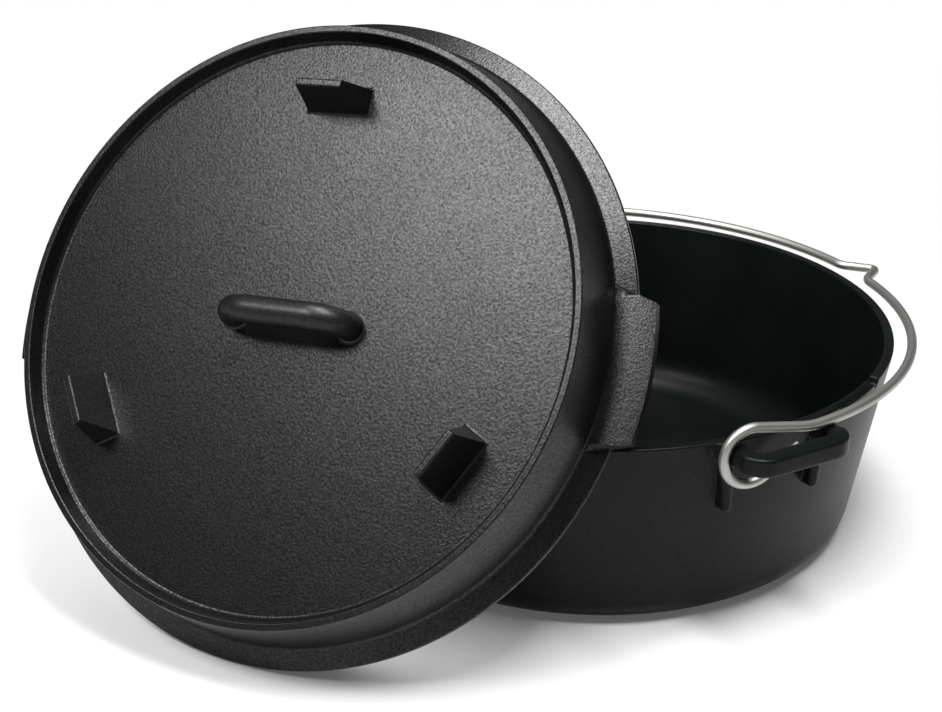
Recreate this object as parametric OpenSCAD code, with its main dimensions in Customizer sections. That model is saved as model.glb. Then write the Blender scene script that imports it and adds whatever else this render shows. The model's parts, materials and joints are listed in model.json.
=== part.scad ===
// Camp dutch oven: a cast iron pot with two ears, a wire bail, and a footed lid that leans on the pot's side.
// Millimetres, +Z up. The origin is the middle of the pot's flat bottom. The front ear points to -Y, the bail
// lies folded towards +X, and the lid stands on the floor on the -X side.

/* [Pot] */
// Outer radius of the rim
rim_r = 155; // [140:1:170]
// Height of the pot
pot_h = 102; // [90:1:125]
// Radius at which the straight wall would meet the floor
base_r = 138; // [125:1:148]
// Wall thickness, measured level
wall = 5; // [4:0.5:7]
// Floor thickness
floor_t = 6; // [4:0.5:9]
// Radius of the outer corner between wall and bottom
base_round = 16; // [8:1:22]
// Radius of the inner corner between wall and floor
floor_fillet = 20; // [12:1:28]
// Rounding of the rim's edges
rim_round = 1; // [0.5:0.1:1.6]

/* [Rim notch] */
// Turn from the front ear to the notch
notch_turn = 29.4; // [25:0.1:60]
// Width of the notch
notch_w = 4.5; // [3:0.5:8]
// Depth of the notch below the rim
notch_d = 4; // [3:0.5:8]
// Turn that the lowered ledge beside the notch takes up
ledge_span = 14.2; // [8:0.1:20]
// Width of the ledge, from the rim's outer edge
ledge_w = 2.5; // [1:0.25:3]
// Depth of the ledge below the rim
ledge_d = 1.6; // [0.8:0.2:2.6]

/* [Ears] */
// Width of an ear across its arms
ear_w = 59; // [50:1:75]
// Width of the ear's bar and arms
ear_bar = 10; // [8:0.5:12]
// Thickness of an ear
ear_t = 9.2; // [8:0.2:11]
// Radius of the ear's outer corners
ear_corner = 12.5; // [12.5:0.5:16]
// Rounding of the slot's edges
slot_round = 2; // [1:0.25:3]
// Thickness of a gusset rib
rib_t = 8; // [6:0.5:9]
// How much narrower a rib is at its lower end
rib_taper = 4; // [0:0.5:5]
// How far the ribs reach below the ear
rib_h = 27; // [15:1:40]
// How far the ribs stand out past the rim's radius
rib_out = 0.9; // [0:0.1:2]

/* [Lid] */
// How far the lid's edge stands out past the rim
lid_over = 0.8; // [0:0.1:3]
// Height of the coal ring's lip above the seat
lip_h = 36; // [30:0.5:44]
// Width of the lip's top
lip_w = 3.25; // [2:0.25:5]
// Depth of the tray below the lip
tray_d = 8; // [6:0.5:14]
// Thickness of the tray's floor
plate_t = 5; // [4:0.5:8]
// Lean of the coal ring's inner side
tray_draft = 2; // [1:0.5:5]
// Lean of the coal ring's outer side
ring_lean = 5.5; // [3:0.5:8]
// Thickness of the coal ring's wall at its foot
ring_wall = 5.5; // [4:0.5:7]
// Width of the flange
flange_w = 9.8; // [8:0.2:13]
// Height of the flange where it meets the coal ring
flange_h = 7; // [5:0.25:9]
// Thickness of the flange at its edge
flange_t = 2.6; // [2:0.2:4]
// Radius of the hollow where the coal ring meets the flange
ring_fillet = 2.5; // [1.5:0.5:5]
// Depth of the skirt below the seat
skirt_h = 10; // [5:0.5:14]
// Thickness of the skirt at its lower edge
skirt_w = 3.2; // [2.5:0.1:5]
// Gap between the skirt and the pot's wall
skirt_gap = 1.2; // [0.6:0.1:2.5]

/* [Lift tabs] */
// How far a tab stands out past the lid's edge
tab_out = 8.5; // [5:0.5:14]
// Turn that a tab takes up at its root
tab_span = 30; // [18:1:40]
// Turn that each end of a tab slants in by towards its edge
tab_slant = 4; // [1:0.5:6]
// Thickness of a tab at its edge
tab_t = 5.6; // [4:0.2:8]
// Rise of a tab's top towards the coal ring
tab_rise = 1; // [0:0.2:2]
// Width of bare flange between a tab and the coal ring
tab_inset = 1.8; // [1.6:0.2:4]

/* [Lid handle] */
// Length of the handle
handle_l = 73; // [60:0.5:95]
// Thickness of the handle
handle_d = 13; // [11:0.5:17]
// Finger gap under the handle
handle_gap = 9; // [7:0.2:16]
// Bend radius of the handle's middle line
handle_bend = 11; // [9:0.5:13]

/* [Lid feet] */
// Distance from the tray's edge in to the middle of a foot
foot_in = 29; // [20:1:45]
// Height of a foot above the tray
foot_h = 23.5; // [16:0.5:34]
// Length of a foot at its root
foot_root_l = 31.5; // [26:0.5:46]
// Length of a foot at its top
foot_top_l = 23.5; // [18:0.5:40]
// Thickness of a foot at its root
foot_root_t = 13; // [9:0.5:18]
// Thickness of a foot at its top
foot_top_t = 3.5; // [3:0.5:8]

/* [Bail] */
// Thickness of the wire
wire_d = 4.8; // [4:0.2:6]
// Radius of an eye's middle line
eye_r = 13.8; // [13.5:0.1:17]
// Height of an ear's middle above the eye's middle
eye_drop = 1.3; // [0.8:0.1:2]
// Distance from an eye's middle to its neck
neck_l = 30; // [26:0.5:32]
// Reach of the wire's free end from the eye's middle
end_l = 24.5; // [22:0.5:30]
// Height of the wire's free end above the eye's middle
end_z = 1; // [0:0.5:2]
// Width of the V bend at the middle of the bail
hook_w = 24; // [16:1:36]
// How far the V bend stands out
hook_out = 14.5; // [8:0.5:22]
// Droop of the folded bail from the necks to the middle
bail_droop = 1.3; // [0.5:0.1:2]
// Free play between the wire and the ear, ribs and slot
bail_play = 1.3; // [1:0.1:2]

/* [Standing of the lid] */
// Tilt of the lid away from level
lid_tilt = 55; // [48:0.5:64]
// Bearing of the lid's middle, counted from +X
lid_bearing = 183.8; // [176:0.1:192]
// Bearing that the lid's top faces
lid_facing = 214.6; // [205:0.1:222]
// Turn of the lid's handle out of level
lid_roll = 4; // [-10:0.2:20]
// Gap left where the lid leans on the pot
lean_gap = 0.4; // [0.3:0.1:1]

/* [Hidden] */
$fn = 96;
iron = [0.10, 0.10, 0.105];
steel = [0.74, 0.75, 0.76];
over = 1;
arc_steps = 6;
sink = 3 * wall;
front_turn = -90;
rear_turn = 90;

// Pot
wall_slope = (rim_r - base_r) / pot_h;
floor_r = base_r + wall_slope * floor_t - wall;
floor_disc_r = floor_r - floor_fillet;
corner_z = floor_t + floor_fillet;

// Ears, with u outwards from the pot's axis and v along the rim
rib_u = rim_r + rib_out;
ear_z = pot_h - ear_t;
arm_v = ear_w / 2 - ear_bar;
eye_inner = eye_r - wire_d / 2;
arm_gap = 0.5;
nose_flat = 0.1;
nose_r = (ear_t - nose_flat) / 2;
fillet_tip = rim_r + 0.5;
fillet_r = (pow(rib_u, 2) + pow(ear_w / 2, 2) - pow(fillet_tip, 2)) / (2 * fillet_tip - ear_w);
eye_u = rib_u + wire_d / 2 + bail_play;
eye_v = ear_w / 2 + arm_gap - eye_inner;
eye_z = pot_h - ear_t / 2 - eye_drop;
bail_turn = atan(eye_v / eye_u);
slot_l = (arm_v + eye_v - bail_play - wire_d / 2) / cos(bail_turn);
slot_u = eye_u + slot_l * sin(bail_turn) + wire_d / 2 + bail_play;
ear_u = slot_u + ear_bar;

// Lid, in its own frame with the seat at z = 0
lid_r = rim_r + lid_over;
flange_in_r = lid_r - flange_w;
lip_r = flange_in_r - ring_lean;
tray_r = lip_r - lip_w - tray_draft;
plate_z = lip_h - tray_d;
skirt_r = rim_r - wall - skirt_gap;
skirt_low_r = skirt_r - skirt_h * wall_slope;
skirt_in_r = skirt_low_r - skirt_w;
hollow_r = flange_in_r - ring_wall;
plate_r = tray_r - ring_fillet;
under_z = plate_z - plate_t;
under_r = hollow_r - ring_lean * (under_z - flange_h) / (lip_h - flange_h);
ring_z = (flange_h + under_z) / 2;
foot_r = tray_r - foot_in;
foot_turns = [90, 210, 330];

// Bail, in its own frame with the hinge along Y, the V bend towards +X and the eyes' middles at z = 0
eye_a = sqrt(eye_u * eye_u + eye_v * eye_v);
bail_r = sqrt(eye_a * eye_a + neck_l * neck_l);
far_arm_l = (ear_w / 2 + eye_v) / cos(bail_turn);
seat_gap = 0.3;
neck_z = pot_h - eye_z + wire_d / 2 + seat_gap + (far_arm_l - neck_l) * tan(bail_droop);
wire_sides = 10;
bend_l = 6;
hook_bend_l = 4.5;

// Plain vector helpers
function unit(v) = v / norm(v);
function arc(c, r, from, to, n) = [for (i = [0 : n])
    let (a = from + (to - from) * i / n)
    c + r * [cos(a), sin(a)]];

// Points that round the corner b of the outline a, b, c with radius r
function round_corner(a, b, c, r) =
    r == 0 ? [b] :
    let (u = unit(a - b), v = unit(c - b), half = acos(u * v) / 2)
    let (m = b + unit(u + v) * r / sin(half), t = r / tan(half))
    let (p = b + u * t - m, q = b + v * t - m)
    let (from = atan2(p[1], p[0]), turn = atan2(p[0] * q[1] - p[1] * q[0], p * q))
    arc(m, r, from, from + turn, arc_steps);

// Outline through corners given as [x, y, radius]
function outline(corners) =
    let (n = len(corners), at = [for (c = corners) [c[0], c[1]]])
    [for (i = [0 : n - 1]) each round_corner(at[(i + n - 1) % n], at[i], at[(i + 1) % n], corners[i][2])];

// Quadratic curve that rounds the corner q of the path p, q, s over the length d on each side
function soften(p, q, s, d, n) =
    let (a = q + unit(p - q) * d, c = q + unit(s - q) * d)
    [for (i = [0 : n]) let (t = i / n) (1 - t) * (1 - t) * a + 2 * t * (1 - t) * q + t * t * c];

// Everything between two radii and two heights, as a ring to cut by
module zone(in_r, out_r, low, high) {
    translate([0, 0, low])
        difference() {
            cylinder(r = out_r, h = high - low);
            if (in_r > 0)
                translate([0, 0, -over])
                    cylinder(r = in_r, h = high - low + 2 * over);
        }
}

// Pot
module pot_outside() {
    top = pot_h + over;
    rotate_extrude($fn = 4 * $fn)
        polygon(outline([
            [0, 0, 0],
            [base_r, 0, base_round],
            [base_r + wall_slope * top, top, 0],
            [0, top, 0]]));
}

module rim_notch() {
    rotate([0, 0, front_turn + notch_turn])
        translate([rim_r - wall / 2, 0, pot_h - notch_d + notch_w / 2]) {
            rotate([0, 90, 0])
                cylinder(d = notch_w, h = sink, center = true);
            translate([-sink / 2, -notch_w / 2, 0])
                cube([sink, notch_w, notch_d + over]);
        }
}

module rim_ledge() {
    rotate([0, 0, front_turn + notch_turn - ledge_span])
        rotate_extrude(angle = ledge_span)
            translate([rim_r - ledge_w, pot_h - ledge_d])
                square([ledge_w + over, ledge_d + over]);
}

module pot_shape() {
    rotate_extrude()
        polygon(outline([
            [0, 0, 0],
            [base_r, 0, base_round],
            [rim_r, pot_h, rim_round],
            [rim_r - wall, pot_h, rim_round],
            [floor_r, floor_t, floor_fillet],
            [0, floor_t, 0]]));
}

module pot_floor() {
    color(iron)
        intersection() {
            pot_shape();
            zone(0, floor_disc_r, -over, floor_t + over);
        }
}

module pot_corner() {
    color(iron)
        intersection() {
            pot_shape();
            zone(floor_disc_r, rim_r + over, -over, corner_z);
        }
}

module pot_wall() {
    color(iron)
        difference() {
            intersection() {
                pot_shape();
                zone(0, rim_r + over, corner_z, pot_h + over);
            }
            rim_notch();
            rim_ledge();
        }
}

// Ears
module ear_section() {
    polygon(outline([
        [0, 0, slot_round],
        [ear_bar, 0, nose_r],
        [ear_bar, ear_t, nose_r],
        [0, ear_t, slot_round]]));
}

module ear_arm() {
    root_u = rim_r - sink;
    translate([root_u, arm_v, ear_z])
        rotate([90, 0, 90])
            linear_extrude(ear_u - ear_corner - root_u)
                ear_section();
}

module ear_bend() {
    translate([ear_u - ear_corner, ear_w / 2 - ear_corner, ear_z])
        rotate_extrude(angle = 90)
            translate([ear_corner - ear_bar, 0])
                ear_section();
}

module ear_front_bar() {
    translate([slot_u, ear_w / 2 - ear_corner, ear_z])
        rotate([90, 0, 0])
            linear_extrude(ear_w - 2 * ear_corner)
                ear_section();
}

module ear_root_fillet() {
    middle = [rib_u, ear_w / 2 + fillet_r];
    to_tip = atan2(-middle[1], -middle[0]);
    root_r = rim_r - sink;
    root_v = arm_v + slot_round;
    translate([0, 0, ear_z])
        linear_extrude(ear_t)
            polygon(concat(
                arc(middle, fillet_r, -90, to_tip, arc_steps),
                [unit(middle) * root_r, [root_r, root_v], [rib_u, root_v]]));
}

module ear_rib() {
    root_u = base_r - sink;
    out_v = ear_w / 2;
    in_v = out_v - rib_t;
    top_z = rib_h + slot_round;
    translate([root_u, 0, ear_z - rib_h])
        rotate([90, 0, 90])
            linear_extrude(rib_u - root_u)
                polygon([[in_v, 0], [out_v - rib_taper, 0], [out_v, rib_h], [out_v, top_z], [in_v, top_z]]);
}

module ear() {
    color(iron)
        difference() {
            union() {
                ear_front_bar();
                for (side = [0, 1])
                    mirror([0, side, 0]) {
                        ear_arm();
                        ear_bend();
                        ear_root_fillet();
                        ear_rib();
                    }
            }
            pot_outside();
        }
}

module front_ear() { rotate([0, 0, front_turn]) ear(); }
module rear_ear() { rotate([0, 0, rear_turn]) ear(); }

// Where the lid stands: its lowest edge is on the floor and it is moved in until it nearly meets the pot
lid_up = [sin(lid_tilt) * cos(lid_facing), sin(lid_tilt) * sin(lid_facing), cos(lid_tilt)];
lid_level = [-sin(lid_facing), cos(lid_facing), 0];
lid_rise = cross(lid_up, lid_level);
lid_z = lid_r * sin(lid_tilt);
lean_step = 2;
lean_tries = 24;
lean_rings = [[-skirt_h, skirt_in_r], [-skirt_h, skirt_low_r], [0, skirt_r], [0, lid_r], [flange_t, lid_r]];

function lid_middle(d) = [d * cos(lid_bearing), d * sin(lid_bearing), lid_z];
function pot_gap(p) = p[2] > pot_h + lean_gap ? rim_r : norm([p[0], p[1]]) - base_r - wall_slope * p[2];
function lid_gap(d) = min([for (ring = lean_rings) for (a = [0 : lean_step : 360 - lean_step])
    pot_gap(lid_middle(d) + ring[0] * lid_up + ring[1] * (cos(a) * lid_level + sin(a) * lid_rise))]);
function lean(near, far, n) =
    n == 0 ? far :
    let (m = (near + far) / 2)
    lid_gap(m) > lean_gap ? lean(near, m, n - 1) : lean(m, far, n - 1);

lid_at = lid_middle(lean(0, rim_r + lid_r, lean_tries));

module lid_place() {
    translate(lid_at)
        rotate([0, 0, lid_facing])
            rotate([0, lid_tilt, 0])
                rotate([0, 0, 90 + lid_roll])
                    children();
}

// Lid
module lid_shape() {
    rotate_extrude()
        polygon(outline([
            [0, under_z, 0],
            [under_r, under_z, ring_fillet],
            [hollow_r, 0, 0],
            [lid_r, 0, rim_round],
            [lid_r, flange_t, rim_round],
            [flange_in_r, flange_h, ring_fillet],
            [lip_r, lip_h, rim_round],
            [lip_r - lip_w, lip_h, rim_round],
            [tray_r, plate_z, rim_round],
            [0, plate_z, 0]]));
}

module lid_zone(in_r, out_r, low, high) {
    color(iron)
        lid_place()
            intersection() {
                lid_shape();
                zone(in_r, out_r, low, high);
            }
}

module lid_plate() { lid_zone(0, plate_r, ring_z, lip_h); }
module coal_ring() { lid_zone(plate_r, lid_r, ring_z, lip_h + over); }
module lid_flange() { lid_zone(0, lid_r + over, -over, ring_z); }

module lid_skirt() {
    color(iron)
        lid_place()
            rotate_extrude()
                polygon(outline([
                    [hollow_r, 0, 0],
                    [skirt_in_r, -skirt_h, rim_round],
                    [skirt_low_r, -skirt_h, rim_round],
                    [skirt_r, 0, 0]]));
}

module lid_tab(turn) {
    in_r = flange_in_r + tab_inset;
    in_z = flange_h - tab_inset * (flange_h - flange_t) / flange_w;
    edge_r = lid_r - rim_round;
    edge_z = flange_t + rim_round * (flange_h - flange_t) / flange_w;
    root = [in_r * cos(tab_span / 2), in_r * sin(tab_span / 2)];
    tip_r = lid_r + tab_out;
    tip = [tip_r * cos(tab_span / 2 - tab_slant), tip_r * sin(tab_span / 2 - tab_slant)];
    past = tip + unit(tip - root) * tab_out;
    color(iron)
        lid_place()
            rotate([0, 0, turn])
                difference() {
                    intersection() {
                        rotate([0, 0, -tab_span / 2 - over])
                            rotate_extrude(angle = tab_span + 2 * over)
                                polygon(outline([
                                    [lid_r - 2 * rim_round, 0, 0],
                                    [tip_r, 0, rim_round],
                                    [tip_r, tab_t, rim_round],
                                    [in_r, tab_t + tab_rise, 0],
                                    [in_r, in_z, 0],
                                    [edge_r, edge_z, 0]]));
                        translate([0, 0, -over])
                            linear_extrude(flange_h + tab_t)
                                polygon([
                                    [0, 0],
                                    [root[0], -root[1]],
                                    [past[0], -past[1]],
                                    past,
                                    root]);
                    }
                    rotate([0, 0, -tab_span / 2 - 2 * over])
                        rotate_extrude(angle = tab_span + 4 * over)
                            polygon(outline([
                                [in_r - over, 0, 0],
                                [lid_r, 0, rim_round],
                                [lid_r, flange_t, rim_round],
                                [flange_in_r, flange_h, 0],
                                [in_r - over, flange_t, 0]]));
                }
}

module lid_tab_right() { lid_tab(0); }
module lid_tab_left() { lid_tab(180); }

module lid_handle() {
    post_x = (handle_l - handle_d) / 2;
    bar_z = handle_gap + handle_d / 2;
    color(iron)
        lid_place()
            translate([0, 0, plate_z]) {
                for (side = [0, 1])
                    mirror([side, 0, 0]) {
                        translate([post_x, 0, 0])
                            cylinder(d = handle_d, h = bar_z - handle_bend);
                        translate([post_x - handle_bend, 0, bar_z - handle_bend])
                            rotate([90, 0, 0])
                                rotate_extrude(angle = 90)
                                    translate([handle_bend, 0])
                                        circle(d = handle_d);
                    }
                translate([0, 0, bar_z])
                    rotate([0, 90, 0])
                        cylinder(d = handle_d, h = 2 * (post_x - handle_bend), center = true);
            }
}

module taper(root, top, depth) {
    linear_extrude(depth, center = true)
        polygon([[-root / 2, 0], [root / 2, 0], [top / 2, foot_h], [-top / 2, foot_h]]);
}

module lid_foot(turn) {
    color(iron)
        lid_place()
            rotate([0, 0, turn])
                translate([foot_r, 0, plate_z])
                    intersection() {
                        rotate([90, 0, 90])
                            taper(foot_root_l, foot_top_l, foot_root_t + over);
                        rotate([90, 0, 0])
                            taper(foot_root_t, foot_top_t, foot_root_l + over);
                    }
}

module lid_foot_1() { lid_foot(foot_turns[0]); }
module lid_foot_2() { lid_foot(foot_turns[1]); }
module lid_foot_3() { lid_foot(foot_turns[2]); }

// Bail: the wire runs from its free end round the front eye, along the arc to the V bend, and back alike
function tangent_turn(p, side) = atan2(p[1], p[0]) + side * acos(eye_r / norm(p));
function in_eye(p) = [p[0], -eye_a, p[1]];
function drooped(x, y) =
    let (out = x - neck_l)
    [neck_l + out * cos(bail_droop), y, neck_z - out * sin(bail_droop)];
function on_bow(turn) = drooped(bail_r * cos(turn), bail_r * sin(turn));

low_turn = tangent_turn([end_l, end_z], -1);
high_turn = tangent_turn([neck_l, neck_z], 1);
eye_steps = 20;
bow_steps = 20;
bend_steps = 4;
neck_turn = -acos(neck_l / bail_r);
bow_from = neck_turn + asin(bend_l / bail_r);
hook_turn = -asin(hook_w / 2 / bail_r);
bow_to = hook_turn - 2 * asin(hook_bend_l / bail_r);
neck = in_eye([neck_l, neck_z]);
hook_foot = on_bow(hook_turn);
hook_tip = drooped(bail_r + hook_out, 0);
eye_points = [for (p = arc([0, 0], eye_r, low_turn, high_turn - 360, eye_steps)) in_eye(p)];
front_half = concat(
    [in_eye([end_l, end_z])],
    eye_points,
    soften(eye_points[eye_steps], neck, on_bow(bow_from), bend_l, bend_steps),
    [for (i = [1 : bow_steps]) on_bow(bow_from + (bow_to - bow_from) * i / bow_steps)],
    soften(on_bow(bow_to), hook_foot, hook_tip, hook_bend_l, bend_steps));
function across(p) = [p[0], -p[1], p[2]];
hook_points = soften(hook_foot, hook_tip, across(hook_foot), hook_bend_l, bend_steps);
wire_path = concat(
    front_half,
    hook_points,
    [for (i = [len(front_half) - 1 : -1 : 0]) across(front_half[i])]);

function along(path, i) = unit(path[min(i + 1, len(path) - 1)] - path[max(i - 1, 0)]);
function flatten_to(v, t) = unit(v - (v * t) * t);

// Round tube of thickness d along a path
module tube(path, d, sides) {
    n = len(path);
    across_path = [for (i = 0, v = [0, 1, 0]; i < n;
        v = flatten_to(v, along(path, min(i + 1, n - 1))), i = i + 1) v];
    rings = [for (i = [0 : n - 1])
        let (t = along(path, i), a = flatten_to(across_path[i], t), b = cross(t, a))
        for (k = [0 : sides - 1])
            path[i] + d / 2 * (cos(360 * k / sides) * a + sin(360 * k / sides) * b)];
    skin = [for (i = [0 : n - 2]) for (k = [0 : sides - 1])
        let (p = i * sides + k, q = i * sides + (k + 1) % sides)
        each [[p, p + sides, q], [q, p + sides, q + sides]]];
    near_cap = [for (k = [1 : sides - 2]) [0, k, k + 1]];
    far = (n - 1) * sides;
    far_cap = [for (k = [1 : sides - 2]) [far, far + k + 1, far + k]];
    polyhedron(rings, concat(skin, near_cap, far_cap));
}

module bail() {
    color(steel)
        translate([0, 0, eye_z])
            rotate([0, 0, -bail_turn])
                tube(wire_path, wire_d, wire_sides);
}

pot_floor();
pot_corner();
pot_wall();
front_ear();
rear_ear();
lid_plate();
coal_ring();
lid_flange();
lid_skirt();
lid_handle();
lid_foot_1();
lid_foot_2();
lid_foot_3();
lid_tab_right();
lid_tab_left();
bail();
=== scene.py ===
"""Looks of a camp dutch oven: a cast iron pot with a wire bail, and its footed lid leaning on it.

Sizes in the classes are in millimetres. A mesh becomes metres when it is set in its place.
"""

import json
import logging
import math
from collections.abc import Callable, Sequence
from dataclasses import dataclass, replace
from enum import Enum
from typing import Any, NamedTuple

import bmesh
import bpy
from bmesh.types import BMEdge, BMesh, BMVert
from mathutils import Matrix, Vector

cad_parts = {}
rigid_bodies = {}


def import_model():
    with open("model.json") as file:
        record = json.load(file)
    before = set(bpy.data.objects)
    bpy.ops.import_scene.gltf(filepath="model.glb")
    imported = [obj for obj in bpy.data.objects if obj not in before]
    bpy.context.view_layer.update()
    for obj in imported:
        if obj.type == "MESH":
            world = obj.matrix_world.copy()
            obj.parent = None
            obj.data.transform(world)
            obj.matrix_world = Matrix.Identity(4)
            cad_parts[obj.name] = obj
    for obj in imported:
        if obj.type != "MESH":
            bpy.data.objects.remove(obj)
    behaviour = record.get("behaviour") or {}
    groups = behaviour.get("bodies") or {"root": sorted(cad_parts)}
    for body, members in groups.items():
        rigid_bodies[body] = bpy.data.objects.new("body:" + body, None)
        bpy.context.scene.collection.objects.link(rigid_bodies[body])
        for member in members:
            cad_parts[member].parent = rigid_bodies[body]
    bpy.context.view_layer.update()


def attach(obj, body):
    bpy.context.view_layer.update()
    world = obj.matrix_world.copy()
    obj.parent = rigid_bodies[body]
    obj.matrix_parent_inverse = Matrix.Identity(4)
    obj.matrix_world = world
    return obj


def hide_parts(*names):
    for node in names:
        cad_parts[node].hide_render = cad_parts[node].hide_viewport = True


for leftover in list(bpy.data.objects):
    bpy.data.objects.remove(leftover)
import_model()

LOG = logging.getLogger("camp_oven")
MM = 0.001
WHITE = "#ffffff"
ARC_STEP = math.radians(9)
ARC_LEAST = 3
LONGEST_EDGE = 9.0
MERGE_DIST = 1e-5
SEAM_DIST = 5e-3
FULL_TURN = 360.0
MELT_EASE = 0.5


class Body(Enum):
    """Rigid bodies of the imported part."""

    POT = "pot"
    LID = "lid"
    BAIL = "bail"


class Slot(Enum):
    """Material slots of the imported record."""

    POT_IRON = "pot_iron"
    LID_IRON = "lid_iron"
    BAIL_STEEL = "bail_steel"


class Corner(NamedTuple):
    """Corner of an outline in a plane, with the radius that rounds it."""

    x: float
    y: float
    rounding: float = 0.0


def linear(code: str) -> tuple[float, float, float, float]:
    """Turns an sRGB hex colour to the linear values that Blender takes.

    Args:
        code: Colour such as "#1c1d1e".

    Returns:
        Linear red, green, blue and an alpha of 1.
    """
    parts = [int(code[i : i + 2], 16) / 255 for i in (1, 3, 5)]
    red, green, blue = (p / 12.92 if p <= 0.04045 else ((p + 0.055) / 1.055) ** 2.4 for p in parts)
    return red, green, blue, 1.0


def per_mm(size: float) -> float:
    """Texture scale at which a pattern repeats about every size millimetres."""
    return 1 / (size * MM)


def turned(degrees: float, axis: str = "Z") -> Matrix:
    """Turn round an axis."""
    return Matrix.Rotation(math.radians(degrees), 4, axis)


def add_node(
    tree: bpy.types.NodeTree, kind: str, sockets: dict[Any, Any] | None = None, **settings: Any
) -> bpy.types.Node:
    """Adds one shader node.

    Args:
        tree: Node tree that takes it.
        kind: Blender's name for the type of node.
        sockets: Input values, or the outputs that feed them, by input name or number.
        settings: Attributes of the node.

    Returns:
        The new node.
    """
    made = tree.nodes.new(kind)
    for name, value in settings.items():
        setattr(made, name, value)
    for key, value in (sockets or {}).items():
        if isinstance(value, bpy.types.NodeSocket):
            tree.links.new(value, made.inputs[key])
        else:
            made.inputs[key].default_value = value
    return made


def new_tree(name: str) -> tuple[bpy.types.Material, bpy.types.NodeTree]:
    """Starts an empty node material.

    Args:
        name: Name of the material.

    Returns:
        The material and its node tree.
    """
    material = bpy.data.materials.new(name)
    material.use_nodes = True
    material.node_tree.nodes.clear()
    return material, material.node_tree


def rounded_chain(bm: BMesh, corners: Sequence[Corner], place: Matrix, closed: bool) -> list[BMVert]:
    """Draws an outline of edges and rounds its corners.

    Args:
        bm: Mesh that takes the outline.
        corners: Corners in the order of the outline.
        place: Where the outline's plane lies.
        closed: Whether the last corner joins the first.

    Returns:
        Vertices of the outline.
    """
    known = set(bm.verts)
    verts = [bm.verts.new(place @ Vector((c.x, c.y, 0))) for c in corners]
    count = len(verts)
    for i in range(count if closed else count - 1):
        bm.edges.new((verts[i], verts[(i + 1) % count]))
    spots = [v.co.copy() for v in verts]
    for i, corner in enumerate(corners):
        if not corner.rounding:
            continue
        angle = (spots[i - 1] - spots[i]).angle(spots[(i + 1) % count] - spots[i])
        bmesh.ops.bevel(
            bm,
            geom=[verts[i]],
            offset=corner.rounding / math.tan(angle / 2),
            offset_type="OFFSET",
            segments=max(ARC_LEAST, math.ceil((math.pi - angle) / ARC_STEP)),
            profile=0.5,
            affect="VERTICES",
            material=-1,
        )
    return [v for v in bm.verts if v not in known]


def split_long(bm: BMesh, edges: Sequence[BMEdge], longest: Callable[[Vector], float]) -> None:
    """Divides edges that are longer than is allowed at their middles.

    Args:
        bm: Mesh that holds the edges.
        edges: Edges to look at.
        longest: Gives the longest edge allowed at a point.
    """
    for edge in edges:
        middle = (edge.verts[0].co + edge.verts[1].co) / 2
        cuts = math.ceil(edge.calc_length() / longest(middle)) - 1
        if cuts > 0:
            bmesh.ops.subdivide_edges(bm, edges=[edge], cuts=cuts)


def spun(bm: BMesh, geometry: list[BMVert | BMEdge], degrees: float, steps: int) -> list[BMVert | BMEdge]:
    """Spins an outline round Z.

    Args:
        bm: Mesh that holds the outline.
        geometry: Vertices and edges of the outline.
        degrees: How far it turns. The two ends of a full turn are merged.
        steps: Number of steps.

    Returns:
        Vertices and edges of the last copy.
    """
    return bmesh.ops.spin(
        bm,
        geom=geometry,
        axis=(0, 0, 1),
        angle=math.radians(degrees),
        steps=steps,
        use_merge=degrees == FULL_TURN,
    )["geom_last"]


def lathe(
    corners: Sequence[Corner],
    turns: Sequence[tuple[float, int]],
    start: float = 0.0,
    longest: Callable[[Vector], float] = lambda _: LONGEST_EDGE,
) -> BMesh:
    """Turns an outline from axis to axis round Z into a closed shell.

    Args:
        corners: Outline as radius and height, from the axis back to the axis.
        turns: Degrees and number of steps of each stretch, adding to a full turn.
        start: Bearing of the first stretch, in degrees.
        longest: Longest edge of the outline at a point.

    Returns:
        The shell, in millimetres.
    """
    bm = bmesh.new()
    upright = turned(start) @ turned(90, "X")
    rounded_chain(bm, corners, upright, closed=False)
    split_long(bm, list(bm.edges), longest)
    geometry = [*bm.verts, *bm.edges]
    for degrees, steps in turns:
        geometry = spun(bm, geometry, degrees, steps)
    bmesh.ops.remove_doubles(bm, verts=bm.verts, dist=SEAM_DIST)
    bmesh.ops.recalc_face_normals(bm, faces=bm.faces)
    return bm


def wedge(corners: Sequence[Corner], span: float, steps: int) -> BMesh:
    """Turns a closed outline round Z through part of a turn into a solid with two ends.

    Args:
        corners: Closed outline as radius and height.
        span: Degrees from end to end, with the middle on +X.
        steps: Number of steps.

    Returns:
        The solid, in millimetres.
    """
    bm = bmesh.new()
    upright = turned(-span / 2) @ turned(90, "X")
    rounded_chain(bm, corners, upright, closed=True)
    first = list(bm.edges)
    last = spun(bm, [*bm.verts, *bm.edges], span, steps)
    bmesh.ops.contextual_create(bm, geom=first)
    bmesh.ops.contextual_create(bm, geom=[g for g in last if isinstance(g, BMEdge)])
    bmesh.ops.recalc_face_normals(bm, faces=bm.faces)
    return bm


def frames_along(path: Sequence[Vector], across: Vector) -> list[Matrix]:
    """Gives a frame at each point of a path, with Z along the path and as little twist as possible.

    Args:
        path: Points of the path.
        across: Rough direction of the first frame's X.

    Returns:
        One matrix for each point.
    """
    frames = []
    for i, point in enumerate(path):
        ahead = (path[min(i + 1, len(path) - 1)] - path[max(i - 1, 0)]).normalized()
        across = (across - across.dot(ahead) * ahead).normalized()
        side = ahead.cross(across)
        turn = Matrix((across, side, ahead)).transposed().to_4x4()
        frames.append(Matrix.Translation(point) @ turn)
    return frames


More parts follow.
